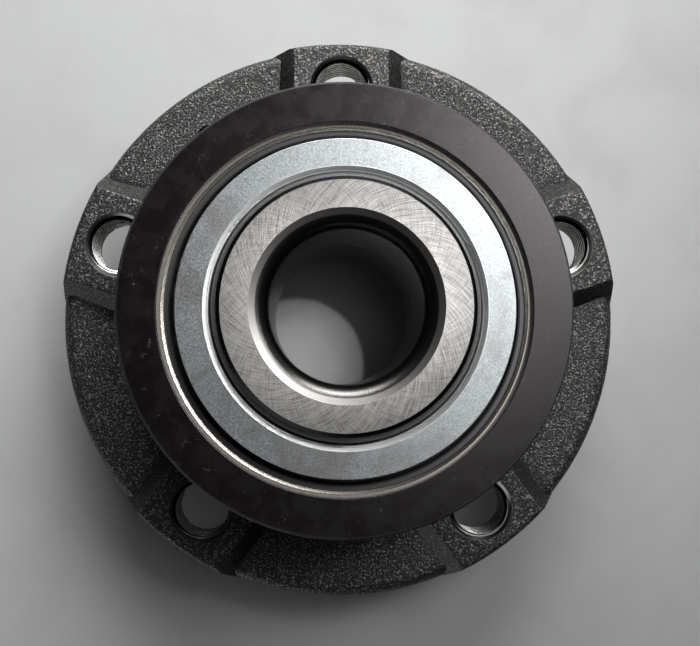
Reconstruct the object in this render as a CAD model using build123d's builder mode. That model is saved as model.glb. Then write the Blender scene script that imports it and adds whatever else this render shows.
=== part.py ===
from build123d import *
import math
import os

# Wheel hub bearing, second generation, for a wheel that is held by bolts.
# The forged hub turns with the wheel and carries both outer raceways. The two
# inner rings stand still on the spindle.
# Axes: +Z runs along the bearing's axis, towards the car. Z = 0 is the machined
# face that the brake disc rests on. All sizes are in millimetres.

# ----------------------------------------------------------- ball bearings
spindle_bore_r = 16.0     # bore of both inner rings
ball_r = 5.953            # 15/32 inch balls
contact_angle = 36.0      # degrees
race_gap = 0.12           # stands in for the preloaded contact
inner_groove_extra = 0.238    # a raceway's radius beyond the ball's: 52 % of its diameter
outer_groove_extra = 0.298    # the same in the hub: 52.5 %
inboard_ring_step = 9.647     # from the bore to the inboard balls
outboard_ring_step = 6.447    # from the bore to the outboard balls
outboard_row_z = 13.2     # how far the outboard row lies behind the disc face
row_spacing = 19.2
inboard_balls = 13
inboard_phase = 4.0
outboard_balls = 12
outboard_phase = 11.0

inboard_pitch_r = spindle_bore_r + inboard_ring_step + ball_r
outboard_pitch_r = spindle_bore_r + outboard_ring_step + ball_r
inboard_row_z = outboard_row_z + row_spacing
inner_groove_r = ball_r + inner_groove_extra
outer_groove_r = ball_r + outer_groove_extra

# Shoulders of the raceways, measured from the row's pitch circle.
high_step = 2.2           # high shoulders in the hub
low_step = 3.1            # low shoulder of the outboard row in the hub
snap_step = 0.067         # how far the inboard low shoulder clears the balls
land_step_half = 1.4      # half the height of the cone between the high shoulders
inboard_ring_shoulder = 3.85
outboard_ring_shoulder = 3.2

inboard_land_r = inboard_pitch_r + high_step
outboard_land_r = outboard_pitch_r + high_step
outboard_low_r = outboard_pitch_r + low_step
counterbore_r = inboard_pitch_r + ball_r + snap_step
inner_ring_r = inboard_pitch_r - inboard_ring_shoulder
outboard_shoulder_r = outboard_pitch_r - outboard_ring_shoulder
joint_z = (inboard_row_z + outboard_row_z) / 2  # where the two inner rings meet

# ------------------------------------------------------------------- cages
pocket_gap = 0.15
cage_base_t = 1.8         # moulded ring below the pockets
cage_horn = 2.6           # how far the horns reach past the balls' centres
cage_hub_gap = 0.6        # between a cage and the hub's high shoulder
cage_ring_gap = 0.2       # between a cage and the outboard ring's shoulder
horn_slot_w = 1.1
horn_slot_depth = 2.4
cage_edge = 0.35

cage_inner_step = outboard_ring_shoulder - cage_ring_gap
cage_outer_step = high_step - cage_hub_gap

# ---------------------------------------------------------------- clearances
ring_gap = 0.02           # between the two rings' ends
seat_gap = 0.02           # drawn in every pressed seat
lip_gap = 0.10            # between a seal lip and what it runs on

# ------------------------------------------------------------- outboard seal
outboard_collar_step = 5.5    # from the bore to the collar that the lip runs on
outboard_lip_room = 1.8   # from that collar to the seal's case
outboard_case_w = 2.7     # the case's own width
outboard_case_t = 0.7
outboard_case_height = 3.4
outboard_wall_step = 0.247    # wall of the seal's bore, below the outboard balls
outboard_case_recess = 0.5    # the case's top, below that wall
outboard_shoulder_step = 0.153  # the ring's shoulder face, above the balls' lowest point
outboard_nose = 3.9       # the ring's end face, below the top of the case
outboard_lip_depth = 1.6  # main lip, below the top of the case
outboard_lip_pitch = 1.25 # dust lip, below the main one
outboard_chamfer = 1.5    # bore's lead-in at the nut face
collar_chamfer = 0.5
joint_chamfer = 0.35

outboard_collar_r = spindle_bore_r + outboard_collar_step
outboard_case_inner_r = outboard_collar_r + outboard_lip_room
outboard_seal_bore_r = outboard_case_inner_r + outboard_case_w
outboard_wall_z = outboard_row_z - ball_r - outboard_wall_step
outboard_shoulder_z = outboard_row_z - ball_r + outboard_shoulder_step
outboard_case_top_z = outboard_wall_z - outboard_case_recess
outboard_face_z = outboard_case_top_z - outboard_nose  # face that the spindle's nut clamps
outboard_lip_z = outboard_case_top_z - outboard_lip_depth

# ------------------------------------------------------ pilots for the wheel
cap_seat_step = 0.6       # seat of the pressed-in dust cap, outside the seal's bore
cap_seat_depth = 5.5      # from the seal's wall down to the top of that seat
cap_seat_chamfer = 0.5
spigot_wall = 1.9         # gives the wheel pilot its 57 mm
pilot_step = 4.0          # gives the disc pilot its 65 mm
disc_pilot_len = 7.0
wheel_pilot_len = 7.0
pilot_chamfer = 0.8
foot_relief_w = 1.2       # relief at the foot of the disc pilot
foot_relief_d = 0.6

cap_seat_r = outboard_seal_bore_r + cap_seat_step
cap_seat_top = outboard_wall_z - cap_seat_depth
wheel_pilot_r = cap_seat_r + spigot_wall
disc_pilot_r = wheel_pilot_r + pilot_step

# ----------------------------------------------------------------- hub body
hub_end_step = 10.6       # from the inboard row to the hub's end face
seal_bore_step = 0.43     # from the counterbore to the inboard seal's seat
seal_bore_chamfer = 0.7
body_wall = 8.15          # between that seat and the encoder's seat
encoder_seat_spare = 0.9  # how much longer the encoder's seat is than its carrier
encoder_seat_chamfer = 0.4
encoder_seat_step = 1.1   # from the encoder's seat out to the forged body
body_taper = 0.6          # how much the forged body widens towards the flange
body_foot_fillet = 5.0
body_shoulder_round = 0.5

hub_end_z = inboard_row_z + hub_end_step
seal_bore_r = counterbore_r + seal_bore_step
encoder_seat_r = seal_bore_r + body_wall
body_top_r = encoder_seat_r + encoder_seat_step
body_foot_r = body_top_r + body_taper

# ------------------------------------------------------------------- flange
bolt_count = 5
bolt_phase = 18.0         # degrees, first bolt from +X
bolt_root_r = 7.05        # root of the M14 x 1.5 thread
bolt_chamfer = 0.55       # lead-in at both ends of a bolt hole
bolt_clearance = 1.05     # from the forged body to a bolt hole: gives the 112 mm bolt circle
screw_inset = 1.4         # the disc's screw lies this far inside the bolt circle
screw_phase = 126.0
screw_root_r = 3.05       # root of the M6 thread
screw_chamfer = 0.5
rim_step = 10.7           # from the bolt circle to the turned rim
web_rim_t = 11.0          # flange between the bosses, at the rim
web_foot_t = 9.9          # the same at the hub's body
boss_height = 3.0         # a boss's flat top, above the web's rim
boss_w = 23.1             # width of a boss's flat top
boss_draft = 45.0         # degrees, a boss's flanks from the vertical
web_round = 2.6           # forged edge of the web at the rim
boss_round = 1.1          # forged edge of a boss at the rim
crest_round = 0.7         # forged edge between a boss's top and its flanks
face_chamfer = 0.8        # turned edge of the rim at the disc face

bolt_circle_r = body_foot_r + bolt_clearance + bolt_root_r
flange_r = bolt_circle_r + rim_step
screw_circle_r = bolt_circle_r - screw_inset
boss_t = web_rim_t + boss_height

# ------------------------------------------------------------------- encoder
carrier_t = 0.8
carrier_len = 6.9
carrier_inset = 1.55      # from the seal's bore to the carrier's inner edge
carrier_bend = 1.2        # outside radius of the carrier's bend
magnet_lap = 0.3          # how far the magnet wraps round the carrier's inner edge
magnet_skirt_t = 0.86     # magnet outside the carrier
magnet_t = 1.66           # magnet on top of the carrier
magnet_height = 3.6       # magnet's outer edge, from top to bottom
magnet_round = 0.45

# -------------------------------------------------------------- inboard seal
case_t = 0.8              # pressed steel case
case_recess = 1.0         # how far the case sits below the hub's end face
case_height = 2.8
case_floor_gap = 0.2      # between the case and the floor of its bore
lip_room = 3.13           # from the flinger's sleeve to the case
rubber_skin = 0.37        # rubber on the case's wall
rubber_floor_t = 1.0
bead_t = 0.8              # rubber round the case's inner edge
lip_tip = 0.3             # thickness of a lip's tip
lip_lean = 1.0            # room between the roots of the two face lips
radial_lip_step = 1.9     # the radial lip, above the case's floor
face_lip_step = 1.5       # from the case to the inner of the two lips on the flinger
face_lip_pitch = 1.9

sheet_t = 0.6             # flinger
flinger_rise = 4.0        # its top, above the hub's end face
flinger_foot_step = 1.0   # its foot, above the case's floor
flinger_lap = 0.5         # how far it reaches past the outer face lip
flinger_bend = 1.1        # outside radius of its bend

# ---------------------------------------------------- nose of the inboard ring
nose_rise = 5.4           # ground face that the spindle's shoulder clamps, above the flinger
lead_in_step = 1.2        # depth of the cone that the flinger is pressed over
lead_in_len = 3.8
edge_depth = 0.9          # 45 degree edge of the ground face
flare_step = 2.7          # from the bore to the flare's chamfer
flare_chamfer_w = 1.3
flare_chamfer_depth = 1.0
flare_len = 4.7           # from the ground face down to where the flare meets the bore

os.makedirs("parts", exist_ok=True)


def save(part, name):
    """Name one finished piece and write it."""
    part.label = name
    export_step(part, "parts/" + name + ".step")


def nearest(vertices, x, y):
    """The corner of a profile that lies nearest to (x, y)."""
    return vertices.sort_by_distance((x, y, 0))[0]


def inner_groove(pitch_r, row_z, side):
    """Centre of an inner raceway's arc. side is +1 where the load runs towards the car."""
    shift = inner_groove_r - ball_r - race_gap
    angle = math.radians(contact_angle)
    return pitch_r + shift * math.cos(angle), row_z - side * shift * math.sin(angle)


def outer_groove(pitch_r, row_z, side):
    """Centre of an outer raceway's arc."""
    shift = outer_groove_r - ball_r - race_gap
    angle = math.radians(contact_angle)
    return pitch_r - shift * math.cos(angle), row_z + side * shift * math.sin(angle)


def on_groove(centre, groove_r, r, side):
    """The point at radius r on a raceway's arc, on its side of the row."""
    rise = math.sqrt(groove_r**2 - (r - centre[0]) ** 2)
    return r, centre[1] + side * rise


def round_edges(builder, r):
    """The round edges of one radius, such as the mouths of a set of holes."""
    circles = builder.edges().filter_by(GeomType.CIRCLE)
    return circles.filter_by(lambda edge: abs(edge.radius - r) < 1e-4)


# ------------------------------------------------------------ hub with flange
in_centre = outer_groove(inboard_pitch_r, inboard_row_z, 1)
in_low = on_groove(in_centre, outer_groove_r, counterbore_r, 1)
in_high = on_groove(in_centre, outer_groove_r, inboard_land_r, -1)
out_centre = outer_groove(outboard_pitch_r, outboard_row_z, -1)
out_high = on_groove(out_centre, outer_groove_r, outboard_land_r, 1)
out_low = on_groove(out_centre, outer_groove_r, outboard_low_r, -1)
spigot_end_z = -disc_pilot_len - wheel_pilot_len
seat_shoulder_z = hub_end_z - carrier_len - encoder_seat_spare
seal_floor_z = hub_end_z - case_recess - case_height - case_floor_gap
relief_r = disc_pilot_r + foot_relief_w

# The bosses are drafted pads that run straight out from the hub's body. The rim's
# own outline trims them, and they reach down past the web's forged edge.
boss_base_z = web_rim_t - web_round
boss_spread = (boss_t - boss_base_z) * math.tan(math.radians(boss_draft))
boss_inner_r = (seal_bore_r + body_top_r) / 2 - boss_spread / 2
boss_len = flange_r + 2 * boss_spread - boss_inner_r
with BuildPart() as bosses:
    with BuildSketch(Plane.XY.offset(boss_base_z)):
        with PolarLocations(boss_inner_r + boss_len / 2, bolt_count, start_angle=bolt_phase):
            Rectangle(boss_len, boss_w + 2 * boss_spread)
    extrude(amount=boss_t - boss_base_z, taper=boss_draft)
    fillet(bosses.edges().group_by(Axis.Z)[-1], crest_round)
    with BuildSketch(Plane.XZ) as envelope:
        with Locations((0, boss_t)):
            Rectangle(flange_r, boss_t, align=(Align.MIN, Align.MAX))
        fillet(nearest(envelope.vertices(), flange_r, boss_t), boss_round)
    revolve(axis=Axis.Z, mode=Mode.INTERSECT)

with BuildPart() as hub:
    with BuildSketch(Plane.XZ) as profile:
        with BuildLine():
            Polyline(
                in_low,
                (counterbore_r, seal_floor_z),
                (seal_bore_r, seal_floor_z),
                (seal_bore_r, hub_end_z - seal_bore_chamfer),
                (seal_bore_r + seal_bore_chamfer, hub_end_z),
                (encoder_seat_r - encoder_seat_chamfer, hub_end_z),
                (encoder_seat_r, hub_end_z - encoder_seat_chamfer),
                (encoder_seat_r, seat_shoulder_z),
                (body_top_r, seat_shoulder_z),
                (body_foot_r, web_foot_t),
                (flange_r, web_rim_t),
                (flange_r, face_chamfer),
                (flange_r - face_chamfer, 0),
                (relief_r, 0),
                (relief_r, foot_relief_d),
                (disc_pilot_r, foot_relief_d),
                (disc_pilot_r, pilot_chamfer - disc_pilot_len),
                (disc_pilot_r - pilot_chamfer, -disc_pilot_len),
                (wheel_pilot_r, -disc_pilot_len),
                (wheel_pilot_r, spigot_end_z + pilot_chamfer),
                (wheel_pilot_r - pilot_chamfer, spigot_end_z),
                (cap_seat_r + cap_seat_chamfer, spigot_end_z),
                (cap_seat_r, spigot_end_z + cap_seat_chamfer),
                (cap_seat_r, cap_seat_top),
                (outboard_seal_bore_r, cap_seat_top),
                (outboard_seal_bore_r, outboard_wall_z),
                (outboard_low_r, outboard_wall_z),
                out_low,
            )
            ThreePointArc(out_low, (out_centre[0] + outer_groove_r, out_centre[1]), out_high)
            Polyline(
                out_high,
                (outboard_land_r, joint_z - land_step_half),
                (inboard_land_r, joint_z + land_step_half),
                in_high,
            )
            ThreePointArc(in_high, (in_centre[0] + outer_groove_r, in_centre[1]), in_low)
        make_face()
        fillet(nearest(profile.vertices(), body_foot_r, web_foot_t), body_foot_fillet)
        fillet(nearest(profile.vertices(), flange_r, web_rim_t), web_round)
        fillet(nearest(profile.vertices(), body_top_r, seat_shoulder_z), body_shoulder_round)
    revolve(axis=Axis.Z)
    add(bosses.part)
    with BuildSketch(Plane.XY.offset(-disc_pilot_len)):
        with PolarLocations(bolt_circle_r, bolt_count, start_angle=bolt_phase):
            Circle(bolt_root_r)
    extrude(amount=disc_pilot_len + boss_t + 1, mode=Mode.SUBTRACT)
    chamfer(round_edges(hub, bolt_root_r), bolt_chamfer)
    with BuildSketch(Plane.XY.offset(-disc_pilot_len)):
        with PolarLocations(screw_circle_r, 1, start_angle=screw_phase):
            Circle(screw_root_r)
    extrude(amount=disc_pilot_len + boss_t + 1, mode=Mode.SUBTRACT)
    chamfer(round_edges(hub, screw_root_r), screw_chamfer)
save(hub.part, "hub_flange")

# ---------------------------------------------------------- inboard inner ring
ring_centre = inner_groove(inboard_pitch_r, inboard_row_z, 1)
ring_foot = (ring_centre[0] - inner_groove_r, ring_centre[1])
ring_high = on_groove(ring_centre, inner_groove_r, inner_ring_r, 1)
joint_top_z = joint_z + ring_gap / 2
flinger_top_z = hub_end_z + flinger_rise
inner_ring_face_z = flinger_top_z + nose_rise
lead_in_r = inner_ring_r - lead_in_step
lead_in_z = inner_ring_face_z - lead_in_len
bore_edge_z = inner_ring_face_z - flare_len
flare_chamfer_r = spindle_bore_r + flare_step
flare_foot_z = inner_ring_face_z - flare_chamfer_depth
with BuildPart() as inboard_ring:
    with BuildSketch(Plane.XZ):
        with BuildLine():
            Polyline(
                (spindle_bore_r, bore_edge_z),
                (spindle_bore_r, joint_top_z + joint_chamfer),
                (spindle_bore_r + joint_chamfer, joint_top_z),
                (ring_foot[0] - joint_chamfer, joint_top_z),
                (ring_foot[0], joint_top_z + joint_chamfer),
                ring_foot,
            )
            TangentArc(ring_foot, ring_high, tangent=(0, 1))
            Polyline(
                ring_high,
                (inner_ring_r, lead_in_z),
                (lead_in_r, inner_ring_face_z - edge_depth),
                (lead_in_r - edge_depth, inner_ring_face_z),
                (flare_chamfer_r + flare_chamfer_w, inner_ring_face_z),
                (flare_chamfer_r, flare_foot_z),
            )
            TangentArc((spindle_bore_r, bore_edge_z), (flare_chamfer_r, flare_foot_z), tangent=(0, 1))
        make_face()
    revolve(axis=Axis.Z)
save(inboard_ring.part, "inner_ring_inboard")

# --------------------------------------------------------- outboard inner ring
small_centre = inner_groove(outboard_pitch_r, outboard_row_z, -1)
small_foot = (small_centre[0] - inner_groove_r, small_centre[1])
small_high = on_groove(small_centre, inner_groove_r, outboard_shoulder_r, -1)
joint_bottom_z = joint_z - ring_gap / 2
with BuildPart() as outboard_ring:
    with BuildSketch(Plane.XZ):
        with BuildLine():
            Polyline(
                small_foot,
                (small_foot[0], joint_bottom_z - joint_chamfer),
                (small_foot[0] - joint_chamfer, joint_bottom_z),
                (spindle_bore_r + joint_chamfer, joint_bottom_z),
                (spindle_bore_r, joint_bottom_z - joint_chamfer),
                (spindle_bore_r, outboard_face_z + outboard_chamfer),
                (spindle_bore_r + outboard_chamfer, outboard_face_z),
                (outboard_collar_r - collar_chamfer, outboard_face_z),
                (outboard_collar_r, outboard_face_z + collar_chamfer),
                (outboard_collar_r, outboard_shoulder_z),
                (outboard_shoulder_r, outboard_shoulder_z),
                small_high,
            )
            TangentArc(small_foot, small_high, tangent=(0, -1))
        make_face()
    revolve(axis=Axis.Z)
save(outboard_ring.part, "inner_ring_outboard")


# ------------------------------------------------------------ balls and cages
def ball(pitch_r, row_z, angle):
    """One ball of a row."""
    with BuildPart() as sphere:
        with Locations((0, 0, row_z)):
            with PolarLocations(pitch_r, 1, start_angle=angle):
                Sphere(ball_r)
    return sphere.part


def cage(pitch_r, row_z, count, phase, side):
    """A snap-in cage. Its horns point along side, +1 towards the car."""
    pocket_r = ball_r + pocket_gap
    foot_z = row_z - side * (pocket_r + cage_base_t)
    horn_z = row_z + side * cage_horn
    ring_w = cage_inner_step + cage_outer_step
    with BuildPart() as crown:
        with BuildSketch(Plane.XZ) as section:
            with Locations((pitch_r - cage_inner_step, (foot_z + horn_z) / 2)):
                Rectangle(ring_w, abs(horn_z - foot_z), align=(Align.MIN, Align.CENTER))
            chamfer(section.vertices(), cage_edge)
        revolve(axis=Axis.Z)
        with Locations((0, 0, row_z)):
            with PolarLocations(pitch_r, count, start_angle=phase):
                Sphere(pocket_r, mode=Mode.SUBTRACT)
        with BuildSketch(Plane.XY.offset(horn_z - side * horn_slot_depth)):
            with PolarLocations(pitch_r, count, start_angle=phase + 180 / count):
                Rectangle(4 * ring_w, horn_slot_w)
        extrude(amount=side * (horn_slot_depth + 1), mode=Mode.SUBTRACT)
    return crown.part


save(cage(inboard_pitch_r, inboard_row_z, inboard_balls, inboard_phase, 1), "cage_inboard")
for number in range(inboard_balls):
    angle = inboard_phase + number * 360 / inboard_balls
    save(ball(inboard_pitch_r, inboard_row_z, angle), f"ball_inboard_{number + 1:02d}")

save(cage(outboard_pitch_r, outboard_row_z, outboard_balls, outboard_phase, -1), "cage_outboard")
for number in range(outboard_balls):
    angle = outboard_phase + number * 360 / outboard_balls
    save(ball(outboard_pitch_r, outboard_row_z, angle), f"ball_outboard_{number + 1:02d}")

# --------------------------------------------------------------- inboard seal
sleeve_inner_r = inner_ring_r + seat_gap
sleeve_outer_r = sleeve_inner_r + sheet_t
flange_under_z = flinger_top_z - sheet_t
case_top_z = hub_end_z - case_recess
case_floor_z = case_top_z - case_height
case_inner_r = sleeve_outer_r + lip_room
face_lip_r = case_inner_r + face_lip_step
second_lip_r = face_lip_r + face_lip_pitch
flinger_r = second_lip_r + flinger_lap
flinger_foot_z = case_floor_z + flinger_foot_step
with BuildPart() as flinger:
    with BuildSketch(Plane.XZ) as section:
        Polygon(
            (sleeve_inner_r, flinger_foot_z),
            (sleeve_outer_r, flinger_foot_z),
            (sleeve_outer_r, flange_under_z),
            (flinger_r, flange_under_z),
            (flinger_r, flinger_top_z),
            (sleeve_inner_r, flinger_top_z),
            align=None,
        )
        fillet(nearest(section.vertices(), sleeve_inner_r, flinger_top_z), flinger_bend)
        fillet(nearest(section.vertices(), sleeve_outer_r, flange_under_z), flinger_bend - sheet_t)
        fillet(nearest(section.vertices(), flinger_r, flinger_top_z), sheet_t / 4)
    revolve(axis=Axis.Z)
save(flinger.part, "seal_flinger")

case_outer_r = seal_bore_r - seat_gap
case_wall_r = case_outer_r - case_t
case_shelf_z = case_floor_z + case_t
with BuildPart() as case:
    with BuildSketch(Plane.XZ) as section:
        Polygon(
            (case_inner_r, case_floor_z),
            (case_outer_r, case_floor_z),
            (case_outer_r, case_top_z),
            (case_wall_r, case_top_z),
            (case_wall_r, case_shelf_z),
            (case_inner_r, case_shelf_z),
            align=None,
        )
        fillet(nearest(section.vertices(), case_outer_r, case_floor_z), case_t * 1.4)
        fillet(nearest(section.vertices(), case_wall_r, case_shelf_z), case_t * 0.4)
    revolve(axis=Axis.Z)
save(case.part, "seal_case_inboard")

rubber_wall_r = case_wall_r - seat_gap
rubber_foot_z = case_shelf_z + seat_gap
rubber_top_z = rubber_foot_z + rubber_floor_t
bead_outer_r = case_inner_r - seat_gap
bead_inner_r = bead_outer_r - bead_t
run_r = sleeve_outer_r + lip_gap
run_z = flange_under_z - lip_gap
radial_lip_z = case_floor_z + radial_lip_step
lip_root = 2.2 * lip_tip
with BuildPart() as lips:
    with BuildSketch(Plane.XZ) as section:
        Polygon(
            (rubber_wall_r, case_top_z),
            (rubber_wall_r, rubber_foot_z),
            (bead_outer_r, rubber_foot_z),
            (bead_outer_r, case_floor_z),
            (bead_inner_r, case_floor_z),
            (bead_inner_r, radial_lip_z - lip_root),
            (run_r, radial_lip_z),
            (run_r, radial_lip_z + lip_tip),
            (bead_outer_r, rubber_top_z),
            (face_lip_r - lip_tip, run_z),
            (face_lip_r, run_z),
            (bead_outer_r + 2 * lip_root, rubber_top_z),
            (bead_outer_r + 2 * lip_root + lip_lean, rubber_top_z),
            (second_lip_r - lip_tip, run_z),
            (second_lip_r, run_z),
            (bead_outer_r + 4 * lip_root + lip_lean, rubber_top_z),
            (rubber_wall_r - 2 * rubber_skin, rubber_top_z),
            (rubber_wall_r - rubber_skin, rubber_top_z + rubber_skin),
            (rubber_wall_r - rubber_skin, case_top_z),
            align=None,
        )
        fillet(nearest(section.vertices(), rubber_wall_r, rubber_foot_z), case_t * 0.4 - seat_gap)
    revolve(axis=Axis.Z)
save(lips.part, "seal_lip_inboard")

# -------------------------------------------------------------- outboard seal
small_case_r = outboard_seal_bore_r - seat_gap
small_wall_r = small_case_r - outboard_case_t
small_foot_z = outboard_case_top_z - outboard_case_height
small_shelf_z = outboard_case_top_z - outboard_case_t
with BuildPart() as small_case:
    with BuildSketch(Plane.XZ) as section:
        Polygon(
            (outboard_case_inner_r, outboard_case_top_z),
            (outboard_case_inner_r, small_shelf_z),
            (small_wall_r, small_shelf_z),
            (small_wall_r, small_foot_z),
            (small_case_r, small_foot_z),
            (small_case_r, outboard_case_top_z),
            align=None,
        )
        fillet(nearest(section.vertices(), small_case_r, outboard_case_top_z), outboard_case_t * 1.4)
        fillet(nearest(section.vertices(), small_wall_r, small_shelf_z), outboard_case_t * 0.4)
    revolve(axis=Axis.Z)
save(small_case.part, "seal_case_outboard")

small_rubber_r = small_wall_r - seat_gap
small_bead_r = outboard_case_inner_r - seat_gap
small_run_r = outboard_collar_r + lip_gap
small_rubber_z = small_shelf_z - seat_gap
small_floor_z = small_rubber_z - rubber_floor_t
dust_lip_z = outboard_lip_z - outboard_lip_pitch
with BuildPart() as small_lips:
    with BuildSketch(Plane.XZ) as section:
        Polygon(
            (small_bead_r, outboard_case_top_z),
            (small_bead_r - bead_t, outboard_case_top_z),
            (small_bead_r - bead_t, outboard_lip_z + lip_root),
            (small_run_r, outboard_lip_z),
            (small_run_r, outboard_lip_z - lip_tip),
            (small_bead_r - bead_t / 2, small_floor_z + lip_tip),
            (small_run_r, dust_lip_z),
            (small_run_r, dust_lip_z - lip_tip),
            (small_bead_r + bead_t, small_floor_z),
            (small_rubber_r - 2 * rubber_skin, small_floor_z),
            (small_rubber_r - rubber_skin, small_floor_z - rubber_skin),
            (small_rubber_r - rubber_skin, small_foot_z),
            (small_rubber_r, small_foot_z),
            (small_rubber_r, small_rubber_z),
            (small_bead_r, small_rubber_z),
            align=None,
        )
        fillet(nearest(section.vertices(), small_rubber_r, small_rubber_z), outboard_case_t * 0.4 - seat_gap)
    revolve(axis=Axis.Z)
save(small_lips.part, "seal_lip_outboard")

# -------------------------------------------------------------------- encoder
sleeve_r = encoder_seat_r + seat_gap
carrier_r = sleeve_r + carrier_t
carrier_inner_r = seal_bore_r + carrier_inset
carrier_under_z = hub_end_z + seat_gap
carrier_top_z = carrier_under_z + carrier_t
with BuildPart() as carrier:
    with BuildSketch(Plane.XZ) as section:
        Polygon(
            (carrier_inner_r, carrier_under_z),
            (sleeve_r, carrier_under_z),
            (sleeve_r, carrier_top_z - carrier_len),
            (carrier_r, carrier_top_z - carrier_len),
            (carrier_r, carrier_top_z),
            (carrier_inner_r, carrier_top_z),
            align=None,
        )
        fillet(nearest(section.vertices(), carrier_r, carrier_top_z), carrier_bend)
        fillet(nearest(section.vertices(), sleeve_r, carrier_under_z), carrier_bend - carrier_t)
    revolve(axis=Axis.Z)
save(carrier.part, "encoder_carrier")

magnet_under_z = carrier_top_z + seat_gap
magnet_top_z = magnet_under_z + magnet_t
magnet_skirt_z = magnet_top_z - magnet_height
magnet_inner_r = carrier_inner_r - magnet_lap
magnet_outer_r = carrier_r + seat_gap + magnet_skirt_t
with BuildPart() as magnet:
    with BuildSketch(Plane.XZ) as section:
        Polygon(
            (magnet_inner_r, carrier_under_z),
            (carrier_inner_r - seat_gap, carrier_under_z),
            (carrier_inner_r - seat_gap, magnet_under_z),
            (carrier_r + seat_gap, magnet_under_z),
            (carrier_r + seat_gap, magnet_skirt_z),
            (magnet_outer_r, magnet_skirt_z),
            (magnet_outer_r, magnet_top_z),
            (magnet_inner_r, magnet_top_z),
            align=None,
        )
        fillet(nearest(section.vertices(), carrier_r + seat_gap, magnet_under_z), carrier_bend + seat_gap)
        fillet(nearest(section.vertices(), magnet_outer_r, magnet_top_z), magnet_round)
        fillet(nearest(section.vertices(), magnet_inner_r, magnet_top_z), magnet_round / 2)
    revolve(axis=Axis.Z)
save(magnet.part, "encoder_magnet")
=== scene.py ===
# %% [markdown]
# # A wheel hub bearing in a soft studio
# The part is a rear wheel hub: one steel forging that holds a double row of balls, two inner rings,
# two seals and a magnetic ring for the speed sensor. Its solids come from CAD, at their real size.
# This lesson gives each surface its finish, adds the screw threads that the solids leave out, and
# sets up the table, the light and the camera. It starts by loading the solids as a fixed frame.

# %% Load the solids
import math

import bmesh
import bpy
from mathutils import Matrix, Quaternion, Vector


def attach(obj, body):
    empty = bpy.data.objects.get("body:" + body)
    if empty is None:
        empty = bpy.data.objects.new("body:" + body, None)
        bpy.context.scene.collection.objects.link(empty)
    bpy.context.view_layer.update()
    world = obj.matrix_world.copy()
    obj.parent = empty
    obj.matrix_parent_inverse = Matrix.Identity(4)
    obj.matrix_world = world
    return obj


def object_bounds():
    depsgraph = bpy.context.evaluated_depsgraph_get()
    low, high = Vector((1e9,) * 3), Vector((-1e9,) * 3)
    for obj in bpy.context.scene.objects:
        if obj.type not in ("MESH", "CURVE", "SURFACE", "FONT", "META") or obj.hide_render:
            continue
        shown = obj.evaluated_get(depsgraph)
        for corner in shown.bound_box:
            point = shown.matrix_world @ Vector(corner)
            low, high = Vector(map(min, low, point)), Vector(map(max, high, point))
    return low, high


MM = 0.001
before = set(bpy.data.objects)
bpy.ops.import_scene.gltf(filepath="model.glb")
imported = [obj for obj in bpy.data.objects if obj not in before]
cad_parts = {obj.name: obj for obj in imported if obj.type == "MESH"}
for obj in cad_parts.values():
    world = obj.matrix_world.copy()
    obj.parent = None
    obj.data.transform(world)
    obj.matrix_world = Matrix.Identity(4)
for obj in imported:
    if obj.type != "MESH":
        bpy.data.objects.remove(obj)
cad_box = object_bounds()
print("nodes:", len(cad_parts))
print("box (mm):", [round(v / MM, 1) for corner in cad_box for v in corner])

# %% [markdown]
# ## Helpers that make a material read like a formula
# A procedural material is a long chain of small nodes, and most of them are plain arithmetic.
# Written out node by node, the chain hides what it means. Each helper below adds one node, takes
# numbers or other nodes' outputs, and returns its own output, so that steps can be nested.

# %% One node each
def feed(tree, socket, value):
    """Sets a socket to a number or colour, or links it to another node's output."""
    if isinstance(value, bpy.types.NodeSocket):
        tree.links.new(value, socket)
    elif value is not None:
        socket.default_value = value


def calc(tree, operation, first, second=None, third=None):
    """One Math node."""
    node = tree.nodes.new("ShaderNodeMath")
    node.operation = operation
    for socket, value in zip(node.inputs, (first, second, third)):
        feed(tree, socket, value)
    return node.outputs[0]


def step(tree, value, low, high, low_out=0.0, high_out=1.0):
    """A smooth step: low_out below low, high_out above high."""
    node = tree.nodes.new("ShaderNodeMapRange")
    node.interpolation_type = "SMOOTHSTEP"
    names = ("Value", "From Min", "From Max", "To Min", "To Max")
    for name, number in zip(names, (value, low, high, low_out, high_out)):
        feed(tree, node.inputs[name], number)
    return node.outputs["Result"]


def mix(tree, share, first, second):
    """A colour between first (share 0) and second (share 1)."""
    node = tree.nodes.new("ShaderNodeMix")
    node.data_type = "RGBA"
    sockets = {socket.identifier: socket for socket in node.inputs}
    feed(tree, sockets["Factor_Float"], share)
    feed(tree, sockets["A_Color"], first)
    feed(tree, sockets["B_Color"], second)
    return {socket.identifier: socket for socket in node.outputs}["Result_Color"]


def noise(tree, place, scale, detail=3.0, roughness=0.55, distortion=0.0):
    """Fractal noise from 0 to 1. The scale is in cycles per unit of place."""
    node = tree.nodes.new("ShaderNodeTexNoise")
    names = ("Vector", "Scale", "Detail", "Roughness", "Distortion")
    for name, value in zip(names, (place, scale, detail, roughness, distortion)):
        feed(tree, node.inputs[name], value)
    return node.outputs["Fac"]


def vector(tree, x, y, z):
    """One vector from three numbers."""
    node = tree.nodes.new("ShaderNodeCombineXYZ")
    for socket, value in zip(node.inputs, (x, y, z)):
        feed(tree, socket, value)
    return node.outputs[0]


def bump(tree, height, depth, strength=1.0, below=None):
    """A normal from a height of 0 to 1, with its depth in millimetres."""
    node = tree.nodes.new("ShaderNodeBump")
    node.inputs["Strength"].default_value = strength
    node.inputs["Distance"].default_value = depth * MM
    feed(tree, node.inputs["Height"], height)
    if below is not None:
        feed(tree, node.inputs["Normal"], below)
    return node.outputs["Normal"]


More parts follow.
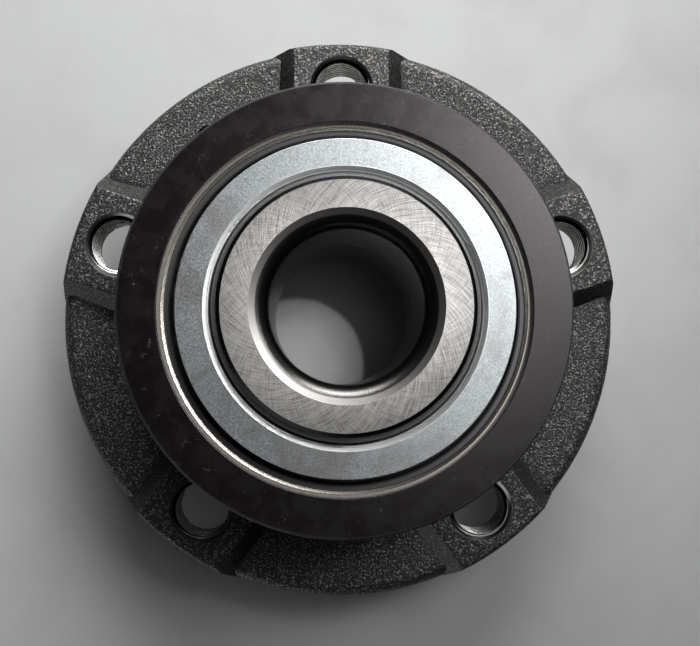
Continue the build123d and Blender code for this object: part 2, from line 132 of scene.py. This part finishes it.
def lean(tree, radius, start, width, slope):
    """A height in millimetres that rises by slope across a band, and so leans the band's normal."""
    past_start = calc(tree, "MAXIMUM", calc(tree, "SUBTRACT", radius, start), 0.0)
    return calc(tree, "MULTIPLY", calc(tree, "MINIMUM", past_start, width), slope)


print("helpers ready")

# %% [markdown]
# ## Groups for the effects that several finishes share
# Almost everything here is round, so most finishes need the same thing first: how far a point lies
# from the axis, at what angle, and how high. Turning marks, blasted grain, smudges and scratches
# each serve more than one material as well. A node group keeps each effect in one place, with
# named inputs, so that a material only says how coarse or how strong its own version is.

# %% Make an empty group
def new_group(name, inputs, outputs):
    """An empty group. Inputs are {name: default}, and a default of None makes a vector input."""
    group = bpy.data.node_groups.new(name, "ShaderNodeTree")
    for label, default in inputs.items():
        kind = "NodeSocketVector" if default is None else "NodeSocketFloat"
        socket = group.interface.new_socket(label, in_out="INPUT", socket_type=kind)
        if default is not None:
            socket.default_value = default
    for label, kind in outputs.items():
        group.interface.new_socket(label, in_out="OUTPUT", socket_type="NodeSocket" + kind)
    return group, group.nodes.new("NodeGroupInput").outputs, group.nodes.new("NodeGroupOutput").inputs


def place_group(tree, group, **values):
    """Places a group in a material. An underscore in a keyword stands for a space."""
    node = tree.nodes.new("ShaderNodeGroup")
    node.node_tree = group
    for label, value in values.items():
        feed(tree, node.inputs[label.replace("_", " ")], value)
    return node.outputs


# %% Polar place: radius, angle and height in millimetres
polar, given, made = new_group(
    "Polar place",
    {"Object": None},
    {"Place": "Vector", "Radius": "Float", "Angle": "Float", "Height": "Float"},
)
scaled = polar.nodes.new("ShaderNodeVectorMath")
scaled.operation = "SCALE"
scaled.inputs["Scale"].default_value = 1 / MM
polar.links.new(given["Object"], scaled.inputs[0])
parts = polar.nodes.new("ShaderNodeSeparateXYZ")
polar.links.new(scaled.outputs[0], parts.inputs[0])
x, y, z = parts.outputs
feed(polar, made["Place"], scaled.outputs[0])
square = calc(polar, "ADD", calc(polar, "MULTIPLY", x, x), calc(polar, "MULTIPLY", y, y))
feed(polar, made["Radius"], calc(polar, "SQRT", square))
feed(polar, made["Angle"], calc(polar, "ARCTAN2", y, x))
feed(polar, made["Height"], z)
print(polar.name, "gives", [s.name for s in polar.interface.items_tree if s.in_out == "OUTPUT"])

# %% Hole place: distance from the nearest wheel bolt's axis, in millimetres
HOLE_CIRCLE_R = 56.0
HOLE_STEP = math.radians(72)
HOLE_FIRST = math.radians(18)
holes, given, made = new_group(
    "Hole place", {"Radius": 0.0, "Angle": 0.0}, {"Distance": "Float", "Off line": "Float"}
)
unfolded = calc(holes, "SUBTRACT", given["Angle"], HOLE_FIRST - HOLE_STEP / 2)
folded = calc(holes, "SUBTRACT", calc(holes, "FLOORED_MODULO", unfolded, HOLE_STEP), HOLE_STEP / 2)
along_ray = calc(holes, "MULTIPLY", given["Radius"], calc(holes, "COSINE", folded))
outward = calc(holes, "SUBTRACT", along_ray, HOLE_CIRCLE_R)
sideways = calc(holes, "MULTIPLY", given["Radius"], calc(holes, "SINE", folded))
square = calc(holes, "MULTIPLY_ADD", outward, outward, calc(holes, "MULTIPLY", sideways, sideways))
feed(holes, made["Distance"], calc(holes, "SQRT", square))
feed(holes, made["Off line"], calc(holes, "ABSOLUTE", sideways))
print(holes.name, "folds", round(2 * math.pi / HOLE_STEP), "holes into one")

# %% Blasted grain: the dimples that shot leaves on a forging
DIMPLE_DEPTH = 0.6
CRUST_DEPTH = 0.7
grain, given, made = new_group(
    "Blasted grain", {"Place": None, "Size": 0.5}, {"Height": "Float", "Fleck": "Float"}
)
per_mm = calc(grain, "DIVIDE", 1.0, given["Size"])
dimple = grain.nodes.new("ShaderNodeTexVoronoi")
dimple.feature = "SMOOTH_F1"
feed(grain, dimple.inputs["Vector"], given["Place"])
feed(grain, dimple.inputs["Scale"], per_mm)
crust = noise(grain, given["Place"], calc(grain, "MULTIPLY", per_mm, 1.3), 3.0, 0.6)
dimples = calc(grain, "MULTIPLY", dimple.outputs["Distance"], DIMPLE_DEPTH)
feed(grain, made["Height"], calc(grain, "ADD", dimples, calc(grain, "MULTIPLY", crust, CRUST_DEPTH)))
feed(grain, made["Fleck"], step(grain, noise(grain, given["Place"], per_mm, 2.0, 0.7), 0.52, 0.66))

# %% Turning marks: fine rings around the axis
turning, given, made = new_group(
    "Turning marks", {"Radius": 0.0, "Height": 0.0, "Pitch": 0.2}, {"Height": "Float"}
)
along = calc(turning, "DIVIDE", calc(turning, "ADD", given["Radius"], given["Height"]), given["Pitch"])
drift = calc(turning, "MULTIPLY", given["Height"], 0.1)
feed(turning, made["Height"], noise(turning, vector(turning, along, drift, 0.0), 1.0, 2.0, 0.7))

# %% Grinding arcs: the crossed curves of a cup wheel on a ring's face
LINES_PER_MM_ACROSS = 0.35
FAR_AWAY = 37.0
SECOND_SHARE = 0.6
BACK_TO_ONE = 0.62
arcs, given, made = new_group(
    "Grinding arcs", {"Radius": 0.0, "Angle": 0.0, "Sweep": 0.06, "Lines": 60.0}, {"Height": "Float"}
)


def one_sweep(direction, offset):
    """Streaks along one family of arcs, which cross the face at a slant."""
    swept = calc(arcs, "MULTIPLY", given["Radius"], given["Sweep"])
    turned = calc(arcs, "MULTIPLY_ADD", swept, direction, given["Angle"])
    around_x = calc(arcs, "MULTIPLY", calc(arcs, "COSINE", turned), given["Lines"])
    around_y = calc(arcs, "MULTIPLY", calc(arcs, "SINE", turned), given["Lines"])
    across = calc(arcs, "MULTIPLY_ADD", given["Radius"], LINES_PER_MM_ACROSS, offset)
    return noise(arcs, vector(arcs, around_x, around_y, across), 1.0, 2.0, 0.65)


second_sweep = calc(arcs, "MULTIPLY", one_sweep(-0.8, FAR_AWAY), SECOND_SHARE)
crossed = calc(arcs, "ADD", one_sweep(1.0, 0.0), second_sweep)
feed(arcs, made["Height"], calc(arcs, "MULTIPLY", crossed, BACK_TO_ONE))

# %% Smudges: broad patches of haze, oil or stain
SMUDGE_SOFTNESS = 0.12
smudge, given, made = new_group("Smudges", {"Place": None, "Size": 8.0, "Cover": 0.5}, {"Mask": "Float"})
cloud = noise(smudge, given["Place"], calc(smudge, "DIVIDE", 1.0, given["Size"]), 5.0, 0.62, 0.4)
threshold = calc(smudge, "SUBTRACT", 1.0, given["Cover"])
edge_low = calc(smudge, "SUBTRACT", threshold, SMUDGE_SOFTNESS)
edge_high = calc(smudge, "ADD", threshold, SMUDGE_SOFTNESS)
feed(smudge, made["Mask"], step(smudge, cloud, edge_low, edge_high))

# %% Scratches: short thin lines, each patch of them in its own direction
BEND_MM = 9.0
THIN = 0.004
THICK = 0.016
scratch, given, made = new_group(
    "Scratches", {"Place": None, "Spacing": 3.0, "Amount": 0.1}, {"Mask": "Float"}
)
cells = scratch.nodes.new("ShaderNodeTexVoronoi")
cells.feature = "DISTANCE_TO_EDGE"
wobble = scratch.nodes.new("ShaderNodeTexNoise")
feed(scratch, wobble.inputs["Vector"], given["Place"])
wobble.inputs["Scale"].default_value = 0.25
bent = scratch.nodes.new("ShaderNodeVectorMath")
bent.operation = "MULTIPLY_ADD"
feed(scratch, bent.inputs[0], wobble.outputs["Color"])
bent.inputs[1].default_value = (BEND_MM, BEND_MM, BEND_MM)
feed(scratch, bent.inputs[2], given["Place"])
feed(scratch, cells.inputs["Vector"], bent.outputs[0])
feed(scratch, cells.inputs["Scale"], calc(scratch, "DIVIDE", 1.0, given["Spacing"]))
line = step(scratch, cells.outputs["Distance"], THIN, THICK, 1.0, 0.0)
patch = noise(scratch, given["Place"], 0.35, 2.0, 0.6)
none_below = calc(scratch, "SUBTRACT", 0.72, given["Amount"])
all_above = calc(scratch, "SUBTRACT", 0.78, given["Amount"])
shown = step(scratch, patch, none_below, all_above)
feed(scratch, made["Mask"], calc(scratch, "MULTIPLY", line, shown))
print("groups:", [group.name for group in bpy.data.node_groups])

# %% [markdown]
# ## Start a material
# Every material begins with the same two nodes: the Principled shader, and the object coordinates
# turned into polar ones. Object coordinates stay with a piece when it turns, so its marks turn
# with it. Numbers that are the same all over a surface are set on the shader's own sockets.

# %% The common start of a material
def finish_of(name, **constants):
    """A new material: the tree, its Principled shader and the polar place of each point."""
    material = bpy.data.materials.new(name)
    material.use_nodes = True
    tree = material.node_tree
    shader = tree.nodes["Principled BSDF"]
    for label, value in constants.items():
        shader.inputs[label.replace("_", " ")].default_value = value
    coordinates = tree.nodes.new("ShaderNodeTexCoord")
    return material, tree, shader.inputs, place_group(tree, polar, Object=coordinates.outputs["Object"])


def dress(material, *nodes):
    """Gives CAD nodes their material."""
    for name in nodes:
        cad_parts[name].data.materials.clear()
        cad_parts[name].data.materials.append(material)
    print(material.name, "on", len(nodes), "node(s)")


# %% [markdown]
# ## The hub: blasted forging with turned faces
# The hub comes off the forging press with a dark scale, is shot-blasted to an even grain, and is
# then turned and drilled only where something seats. Two materials on one solid would need its
# faces sorted by hand. One material that knows the radius, height and bolt-hole distance of each
# point can tell the turned places from the rough ones by itself, as a drawing does.

# %% Where the hub is turned
DISC_FACE_Z = 0.15
BORED_R = 43.0
BODY_Z = 34.6
hub_steel, tree, hub, at = finish_of("hub forging", Specular_IOR_Level=0.5)
outboard = step(tree, at["Height"], DISC_FACE_Z, DISC_FACE_Z + 0.35, 1.0, 0.0)
inside = step(tree, at["Radius"], BORED_R, BORED_R + 1.0, 1.0, 0.0)
above_web = step(tree, at["Height"], BODY_Z, BODY_Z + 0.4)
turned = calc(tree, "MAXIMUM", calc(tree, "MAXIMUM", outboard, inside), above_web)

# %% Where the hub is drilled
DRILLED_R = 7.62
hole = place_group(tree, holes, Radius=at["Radius"], Angle=at["Angle"])
drilled = step(tree, hole["Distance"], DRILLED_R, DRILLED_R + 0.16, 1.0, 0.0)
smooth = calc(tree, "MAXIMUM", turned, drilled)

# %% Where a boss's flank is: the die rubs it smooth, from the boss's edge down to the web
FLANK_FROM = 11.6
FLANK_TO = 16.0
RAGGED = 1.1
ragged = calc(tree, "MULTIPLY_ADD", noise(tree, at["Place"], 1.1, 2.0), 2 * RAGGED, -RAGGED)
crest_line = calc(tree, "ADD", hole["Off line"], calc(tree, "MULTIPLY", ragged, 0.3))
past_crest = step(tree, crest_line, FLANK_FROM - 0.5, FLANK_FROM + 0.6)
past_foot = step(tree, calc(tree, "ADD", hole["Off line"], ragged), FLANK_TO - 1.3, FLANK_TO + 0.9)
flank = calc(tree, "SUBTRACT", past_crest, past_foot)

# %% Where the edge of the seal's bore is
SEAL_EDGE_Z = 41.9
SEAL_EDGE_R = 38.8
SEAL_BAND_R = 38.15
SEAL_BAND_W = 0.6
SEAL_BAND_SLOPE = -0.57
at_top = step(tree, at["Height"], SEAL_EDGE_Z, SEAL_EDGE_Z + 0.3)
seal_edge = calc(tree, "MULTIPLY", at_top, step(tree, at["Radius"], SEAL_EDGE_R, SEAL_EDGE_R + 0.2, 1.0, 0.0))

# %% Colour, gloss and grain of the hub
blasted = place_group(tree, grain, Place=at["Place"], Size=0.46)
marks = place_group(tree, turning, Radius=at["Radius"], Height=at["Height"], Pitch=0.16)
off_flank = calc(tree, "MULTIPLY_ADD", flank, -0.66, 1.0)
rough_share = calc(tree, "MULTIPLY", calc(tree, "SUBTRACT", 1.0, smooth), off_flank)
scale_colour = mix(tree, blasted["Fleck"], (0.034, 0.033, 0.032, 1), (0.29, 0.28, 0.27, 1))
scale_colour = mix(tree, rough_share, (0.030, 0.0285, 0.0270, 1), scale_colour)
bright_colour = mix(tree, marks["Height"], (0.42, 0.40, 0.37, 1), (0.66, 0.64, 0.60, 1))
# Painted highlight: the seal bore's edge is coloured pale cream, partly its bright machined steel and partly
# a painted glint.
bright_colour = mix(tree, seal_edge, bright_colour, (0.90, 0.83, 0.72, 1))
bright_colour = mix(tree, drilled, bright_colour, (0.20, 0.197, 0.192, 1))
feed(tree, hub["Base Color"], mix(tree, smooth, scale_colour, bright_colour))
feed(tree, hub["Metallic"], calc(tree, "MULTIPLY_ADD", smooth, 0.35, 0.65))
smooth_gloss = calc(tree, "MULTIPLY_ADD", smooth, -0.12, 0.44)
feed(tree, hub["Roughness"], calc(tree, "MULTIPLY_ADD", seal_edge, -0.07, smooth_gloss))
grained = bump(tree, calc(tree, "MULTIPLY", blasted["Height"], rough_share), 0.22)
lined = bump(tree, calc(tree, "MULTIPLY", marks["Height"], turned), 0.006, below=grained)
leaning = lean(tree, at["Radius"], SEAL_BAND_R, SEAL_BAND_W, SEAL_BAND_SLOPE)
feed(tree, hub["Normal"], bump(tree, leaning, 1.0, below=lined))
dress(hub_steel, "hub_flange")

# %% [markdown]
# ## The inner rings: ground bearing steel
# A cup wheel grinds the ring's end face and leaves two families of crossed arcs. The bore is
# ground along its length, and the flared mouth is only turned. Streaks of noise, stretched along
# each arc, give the marks both in the colour and as a shallow bump, which is what catches light.
# A height that is linear in the radius leans the shading of a narrow edge, so that it glints. The
# flare's edge also gets a paler colour, partly turned steel and partly a painted highlight, and the
# ring's outside, in the gap below the flinger, is coloured near-black as painted shade.

# %% Ground face, turned flare and plain bore
RING_FACE_Z = 52.3
RING_OUTSIDE_R = 25.3
FLARE_EDGE_Z = 51.3
FLARE_EDGE_R = 18.7
FLARE_EDGE_W = 1.3
FLARE_EDGE_SLOPE = -0.36
ring_steel, tree, ring, at = finish_of("ground bearing steel", Metallic=1.0)
crossing = place_group(tree, arcs, Radius=at["Radius"], Angle=at["Angle"], Sweep=0.05, Lines=140.0)
marks = place_group(tree, turning, Radius=at["Radius"], Height=at["Height"], Pitch=0.12)
end_face = step(tree, at["Height"], RING_FACE_Z, RING_FACE_Z + 0.08)
hatched = step(tree, crossing["Height"], 0.34, 0.64)
height = mix(tree, end_face, marks["Height"], hatched)
tone = mix(tree, hatched, (0.17, 0.163, 0.155, 1), (0.56, 0.545, 0.525, 1))
flare_edge = step(tree, at["Height"], FLARE_EDGE_Z, FLARE_EDGE_Z + 0.2)
# Painted highlight: the flare's edge is coloured paler than the bore, partly the turned surface and partly a
# painted glint.
bore_tone = mix(tree, flare_edge, (0.12, 0.117, 0.112, 1), (0.30, 0.288, 0.275, 1))
painted_gap_shade = step(tree, at["Radius"], RING_OUTSIDE_R, RING_OUTSIDE_R + 0.3)
# Painted shade: the ring's outside, in the narrow gap below the flinger, is coloured near-black.
bore_tone = mix(tree, painted_gap_shade, bore_tone, (0.020, 0.020, 0.021, 1))
feed(tree, ring["Base Color"], mix(tree, end_face, bore_tone, tone))
feed(tree, ring["Roughness"], calc(tree, "MULTIPLY_ADD", flare_edge, 0.10, 0.26))
ground = bump(tree, height, 0.016)
leaning = lean(tree, at["Radius"], FLARE_EDGE_R, FLARE_EDGE_W, FLARE_EDGE_SLOPE)
feed(tree, ring["Normal"], bump(tree, leaning, 1.0, below=ground))
dress(ring_steel, "inner_ring_inboard", "inner_ring_outboard")

# %% [markdown]
# ## The flinger: zinc-plated sheet
# Zinc plating is pale, slightly blue and not quite even: it has a fine crystal grain, and its
# passivation layer stains brown and violet in places. A metal with a medium roughness and a
# speckled tint comes closest. A broad smudge mask places the stain. The rolled inner bend gets
# a painted highlight: a near-white colour, on top of a leaned normal that makes it glint.

# %% Zinc plate
BEND_R = 28.7
BEND_W = 0.9
BEND_SLOPE = 0.34
zinc, tree, plate, at = finish_of("zinc plate", Metallic=1.0)
speckle = step(tree, noise(tree, at["Place"], 4.2, 2.0, 0.7), 0.30, 0.70)
stain = place_group(tree, smudge, Place=at["Place"], Size=12.0, Cover=0.42)
rubs = place_group(tree, scratch, Place=at["Place"], Spacing=5.0, Amount=0.16)
plated = mix(tree, speckle, (0.38, 0.415, 0.43, 1), (0.72, 0.76, 0.77, 1))
plated = mix(tree, calc(tree, "MULTIPLY", rubs["Mask"], 0.6), plated, (0.30, 0.31, 0.33, 1))
plated = mix(tree, calc(tree, "MULTIPLY", stain["Mask"], 0.5), plated, (0.31, 0.27, 0.27, 1))
# Painted highlight: inside the bend's outer edge the zinc is coloured near white, so it shows as a bright
# line.
painted_bend_highlight = step(tree, at["Radius"], BEND_R + BEND_W, BEND_R + BEND_W + 0.2, 1.0, 0.0)
feed(tree, plate["Base Color"], mix(tree, painted_bend_highlight, plated, (0.92, 0.94, 0.93, 1)))
feed(tree, plate["Roughness"], step(tree, speckle, 0.0, 1.0, 0.31, 0.42))
grained = bump(tree, speckle, 0.010)
leaning = lean(tree, at["Radius"], BEND_R, BEND_W, BEND_SLOPE)
feed(tree, plate["Normal"], bump(tree, leaning, 1.0, below=grained))
dress(zinc, "seal_flinger")

# %% [markdown]
# ## The encoder: magnetic rubber
# The speed sensor reads magnetic poles that are moulded into a black rubber ring, so nothing of
# them shows. What shows is handling: haze, smears and fine scuffs on a brown-black face. The
# colour is nearly nothing, and what the eye reads is the gloss, which the haze varies a little.

# %% Magnetic rubber
ENCODER_RIM_R = 47.25
magnet_rubber, tree, rubber, at = finish_of(
    "magnetic rubber", Specular_IOR_Level=0.8, Specular_Tint=(1.0, 0.95, 0.99, 1.0)
)
haze = place_group(tree, smudge, Place=at["Place"], Size=5.0, Cover=0.50)
scuffs = place_group(tree, scratch, Place=at["Place"], Spacing=4.0, Amount=0.13)
film = calc(tree, "MULTIPLY", haze["Mask"], 0.5)
dark = mix(tree, film, (0.0034, 0.0020, 0.0026, 1), (0.0060, 0.0048, 0.0062, 1))
scuffed = calc(tree, "MULTIPLY", scuffs["Mask"], 0.5)
feed(tree, rubber["Base Color"], mix(tree, scuffed, dark, (0.16, 0.15, 0.15, 1)))
specks = step(tree, noise(tree, at["Place"], 2.2, 3.0, 0.7), 0.60, 0.72)
gloss = calc(tree, "MULTIPLY_ADD", haze["Mask"], 0.045, 0.245)
rim = step(tree, at["Radius"], ENCODER_RIM_R, ENCODER_RIM_R + 0.25)
gloss = calc(tree, "MULTIPLY_ADD", rim, 0.30, gloss)
hazy_specks = calc(tree, "MULTIPLY", specks, haze["Mask"])
feed(tree, rubber["Roughness"], calc(tree, "MULTIPLY_ADD", hazy_specks, 0.05, gloss))
feed(tree, rubber["Normal"], bump(tree, noise(tree, at["Place"], 3.0, 4.0, 0.6), 0.010))
dress(magnet_rubber, "encoder_magnet")

# %% [markdown]
# ## Finishes of the sealed inside
# The pieces inside rarely show, but someone may open the part, and each has its own finish:
# phosphated sheet for the seal cases and the encoder's carrier, satin nitrile rubber for the
# lips, glass-filled polyamide for the cages and polished steel for the balls.

# %% Phosphated sheet
phosphated, tree, sheet_metal, at = finish_of("phosphated sheet", Metallic=0.8)
marks = place_group(tree, turning, Radius=at["Radius"], Height=at["Height"], Pitch=0.22)
phosphate = mix(tree, marks["Height"], (0.07, 0.07, 0.075, 1), (0.20, 0.20, 0.21, 1))
feed(tree, sheet_metal["Base Color"], phosphate)
feed(tree, sheet_metal["Roughness"], step(tree, marks["Height"], 0.3, 0.7, 0.34, 0.5))
feed(tree, sheet_metal["Normal"], bump(tree, marks["Height"], 0.008))
dress(phosphated, "seal_case_inboard", "seal_case_outboard", "encoder_carrier")

# %% Lip rubber
lip_rubber, tree, lips, at = finish_of("lip rubber", Specular_IOR_Level=0.4)
film = place_group(tree, smudge, Place=at["Place"], Size=4.0, Cover=0.45)
feed(tree, lips["Base Color"], mix(tree, film["Mask"], (0.012, 0.012, 0.013, 1), (0.028, 0.027, 0.026, 1)))
feed(tree, lips["Roughness"], step(tree, film["Mask"], 0.0, 1.0, 0.36, 0.58))
feed(tree, lips["Normal"], bump(tree, noise(tree, at["Place"], 4.0, 3.0, 0.6), 0.008))
dress(lip_rubber, "seal_lip_inboard", "seal_lip_outboard")

# %% Glass-filled polyamide
polyamide, tree, cage, at = finish_of("glass-filled polyamide", Specular_IOR_Level=0.5)
fibres = place_group(tree, grain, Place=at["Place"], Size=0.6)
feed(tree, cage["Base Color"], mix(tree, fibres["Fleck"], (0.125, 0.110, 0.085, 1), (0.19, 0.17, 0.135, 1)))
feed(tree, cage["Roughness"], step(tree, fibres["Height"], 0.2, 0.9, 0.40, 0.58))
feed(tree, cage["Normal"], bump(tree, fibres["Height"], 0.02))
dress(polyamide, "cage_inboard", "cage_outboard")

# %% Polished balls
ball_steel, tree, ball, at = finish_of("polished ball steel", Metallic=1.0)
oil = place_group(tree, smudge, Place=at["Place"], Size=2.5, Cover=0.5)
feed(tree, ball["Base Color"], mix(tree, oil["Mask"], (0.74, 0.74, 0.75, 1), (0.66, 0.64, 0.58, 1)))
feed(tree, ball["Roughness"], step(tree, oil["Mask"], 0.0, 1.0, 0.07, 0.16))
dress(ball_steel, *sorted(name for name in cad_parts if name.startswith("ball_")))

# %% [markdown]
# ## Cut the threads
# The five wheel-bolt holes have a right-hand M14 x 1.5 thread, and the small hole of the brake
# disc's screw has M6 x 1. The solids stop at the root of each thread. A thread is one profile
# swept along a helix, so plain mesh code does it: a trapezoid at each step of the turn, joined
# to the one before. Its height swells from nothing at each end, where the tap ran in and out.

# %% Thread ridges
THREAD_STEPS = 48
RUN_OUT = 1 / 3
LOW_SWELL = 0.02
THIN_END = 0.3
HALF_ROOT = 0.44
HALF_CREST = 0.12
SUNK = 0.02


def thread(name, x, y, root_r, crest_r, pitch, bottom, top):
    """An internal thread's ridge, in millimetres, that rides with the hub."""
    turns = (top - bottom) / pitch - 1.0
    count = int(turns * THREAD_STEPS)
    mesh = bmesh.new()
    profiles = []
    for i in range(count + 1):
        angle = 2 * math.pi * i / THREAD_STEPS
        level = bottom + pitch / 2 + pitch * i / THREAD_STEPS
        swell = min(1.0, i / THREAD_STEPS / RUN_OUT, (count - i) / THREAD_STEPS / RUN_OUT)
        crest = root_r - (root_r - crest_r) * max(swell, LOW_SWELL)
        half_root = HALF_ROOT * pitch * max(swell, THIN_END)
        half_crest = HALF_CREST * pitch
        corners = (
            (root_r + SUNK, -half_root),
            (crest, -half_crest),
            (crest, half_crest),
            (root_r + SUNK, half_root),
        )
        ray = Vector((math.cos(angle), math.sin(angle), 0.0))
        profiles.append(
            [mesh.verts.new((Vector((x, y, level + dz)) + ray * r) * MM) for r, dz in corners]
        )
    for before, after in zip(profiles, profiles[1:]):
        for k in range(4):
            mesh.faces.new((before[k], before[(k + 1) % 4], after[(k + 1) % 4], after[k]))
    mesh.faces.new(reversed(profiles[0]))
    mesh.faces.new(profiles[-1])
    bmesh.ops.recalc_face_normals(mesh, faces=mesh.faces)
    data = bpy.data.meshes.new(name)
    mesh.to_mesh(data)
    mesh.free()
    piece = bpy.data.objects.new(name, data)
    bpy.context.scene.collection.objects.link(piece)
    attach(piece, "hub")
    return piece


# %% Thread steel
GROOVE_FROM_R = 6.22
GROOVE_TO_R = 6.38
MOUTH_FROM_Z = 12.9
MOUTH_LINE_GAP = 0.43
tapped, tree, thread_steel, at = finish_of("tapped thread", Metallic=1.0)
film = place_group(tree, smudge, Place=at["Place"], Size=3.0, Cover=0.5)
hole = place_group(tree, holes, Radius=at["Radius"], Angle=at["Angle"])
# Painted shade: past the crest radius of a bolt hole, which covers the thread's roots and the whole small
# screw thread, the steel is coloured near-black. Near the mouth, thin rings keep the metal's colour as
# painted highlight lines.
line_place = calc(tree, "FLOORED_MODULO", hole["Distance"], MOUTH_LINE_GAP)
mouth_line = step(tree, line_place, 0.10, 0.22)
mouth = step(tree, at["Height"], MOUTH_FROM_Z, MOUTH_FROM_Z + 0.2)
groove = step(tree, hole["Distance"], GROOVE_FROM_R, GROOVE_TO_R)
painted_mouth_lines = calc(tree, "MULTIPLY", mouth, mouth_line)
painted_root_shade = calc(tree, "MULTIPLY", groove, calc(tree, "MULTIPLY_ADD", painted_mouth_lines, -0.75, 1.0))
cut = mix(tree, film["Mask"], (0.78, 0.77, 0.75, 1), (0.55, 0.54, 0.52, 1))
feed(tree, thread_steel["Base Color"], mix(tree, painted_root_shade, cut, (0.006, 0.006, 0.006, 1)))
oily = step(tree, film["Mask"], 0.0, 1.0, 0.24, 0.34)
feed(tree, thread_steel["Roughness"], calc(tree, "MULTIPLY_ADD", mouth, 0.25, oily))
feed(tree, thread_steel["Normal"], bump(tree, noise(tree, at["Place"], 6.0, 2.0, 0.6), 0.004))

# %% Six tapped holes
BOLT = {"root_r": 7.05, "crest_r": 6.19, "pitch": 1.5, "bottom": 0.3, "top": 14.0}
SCREW = {"root_r": 3.05, "crest_r": 2.46, "pitch": 1.0, "bottom": 0.3, "top": 10.9}
SCREW_CIRCLE_R = 54.6
SCREW_ANGLE = math.radians(126)
tapped_holes = [
    (f"bolt_thread_{i + 1}", HOLE_CIRCLE_R, HOLE_FIRST + i * HOLE_STEP, BOLT) for i in range(5)
]
tapped_holes.append(("disc_screw_thread", SCREW_CIRCLE_R, SCREW_ANGLE, SCREW))
threads = [
    thread(name, circle_r * math.cos(angle), circle_r * math.sin(angle), **sizes)
    for name, circle_r, angle, sizes in tapped_holes
]
for piece in threads:
    piece.data.materials.append(tapped)
print("threads:", len(threads), "with", sum(len(piece.data.polygons) for piece in threads), "faces")

# %% [markdown]
# ## Table
# The hub lies on its outboard spigot, so the table stands at the spigot's end. It is a plain pale
# painted board, with only enough mottling to give the eye a scale. A stage piece isn't part of
# the object.

# %% Pale painted board
board, tree, paint, at = finish_of("pale board", Specular_IOR_Level=0.35)
mottle = place_group(tree, smudge, Place=at["Place"], Size=30.0, Cover=0.45)
feed(tree, paint["Base Color"], mix(tree, mottle["Mask"], (0.50, 0.51, 0.505, 1), (0.47, 0.475, 0.47, 1)))
feed(tree, paint["Roughness"], step(tree, mottle["Mask"], 0.0, 1.0, 0.45, 0.6))
feed(tree, paint["Normal"], bump(tree, noise(tree, at["Place"], 0.8, 4.0, 0.55), 0.02))
TABLE_SIZE = 3.0
table_mesh = bmesh.new()
bmesh.ops.create_grid(table_mesh, x_segments=1, y_segments=1, size=TABLE_SIZE / 2)
table_data = bpy.data.meshes.new("table")
table_mesh.to_mesh(table_data)
table_mesh.free()
table = bpy.data.objects.new("table", table_data)
table.location.z = cad_box[0].z
table.data.materials.append(board)
bpy.context.scene.collection.objects.link(table)
print("table top at", round(table.location.z / MM, 2), "mm")

# %% [markdown]
# ## Light
# Metal shows what it reflects, so a lamp's place matters more than its strength. The key lamp
# stands high on the upper right: it whitens the zinc and the ground face on its side and leaves
# the far side dark. The top lamp is nearly overhead and gives the flat faces their sheen. The
# table lamp and the low lamp only grade the table and open the shadow beneath the flange. The bore
# lamp is a narrow beam that goes down through the bore. A very dim sky fills what is left.

# %% Lamps and sky
CORE = Vector((0.0, 0.0, 0.052))


def aim_lamp(name, light, place, aim):
    """Places a lamp and turns it towards aim; both are in metres."""
    lamp = bpy.data.objects.new(name, light)
    lamp.location = place
    lamp.rotation_euler = (Vector(aim) - Vector(place)).to_track_quat("-Z", "Y").to_euler()
    bpy.context.scene.collection.objects.link(lamp)


def soft_lamp(name, place, aim, size, watts, spread=180.0):
    """A rectangular area light."""
    light = bpy.data.lights.new(name, "AREA")
    light.shape = "RECTANGLE"
    light.size, light.size_y = size
    light.energy = watts
    light.spread = math.radians(spread)
    aim_lamp(name, light, place, aim)


def beam_lamp(name, place, aim, radius, watts, width):
    """A narrow spotlight whose edge fades all the way in; width is in degrees."""
    light = bpy.data.lights.new(name, "SPOT")
    light.energy = watts
    light.spot_size = math.radians(width)
    light.spot_blend = 1.0
    light.shadow_soft_size = radius
    aim_lamp(name, light, place, aim)


soft_lamp("key lamp", (0.19, 0.21, 0.43), (-0.04, 0.05, 0.03), (0.26, 0.20), 0.168, spread=56)
soft_lamp("top lamp", (0.105, 0.055, 0.515), (0.0, 0.0, 0.03), (0.18, 0.18), 0.165)
soft_lamp("table lamp", (0.02, 0.50, 0.26), (-0.03, 0.14, -0.014), (0.5, 0.2), 0.88, spread=70)
soft_lamp("low lamp", (-0.22, -0.34, 0.045), (-0.01, -0.06, -0.014), (0.40, 0.06), 0.075, spread=90)
beam_lamp("bore lamp", (0.077, 0.077, 0.487), CORE, 0.010, 4.6, 5.0)
sky = bpy.data.worlds.new("sky")
sky.use_nodes = True
sky.node_tree.nodes["Background"].inputs["Color"].default_value = (0.80, 0.86, 0.92, 1)
sky.node_tree.nodes["Background"].inputs["Strength"].default_value = 0.01
bpy.context.scene.world = sky
bpy.context.scene.view_settings.view_transform = "Standard"

# %% [markdown]
# ## Camera
# The camera looks almost straight down from a hand's height above the part, which is near enough
# for the hub's top to look larger than its flange. Such a view can't be got by guessing a lens:
# height and focal length change the picture in different ways, so both are given here.

# %% A close camera from above
CAMERA_PLACE = Vector((-7.36, -15.09, 254.25))
TILT_AXIS = (0.826, -0.564, 0.0)
TILT = 3.97
camera_data = bpy.data.cameras.new("camera")
camera_data.sensor_width = 36.0
camera_data.lens = 51.81
camera_data.clip_start = 0.01
camera = bpy.data.objects.new("camera", camera_data)
camera.location = CAMERA_PLACE * MM
camera.rotation_euler = Quaternion(TILT_AXIS, math.radians(TILT)).to_euler()
bpy.context.scene.collection.objects.link(camera)
bpy.context.scene.camera = camera
print("camera", round((camera.location.z - table.location.z) / MM), "mm above the table")
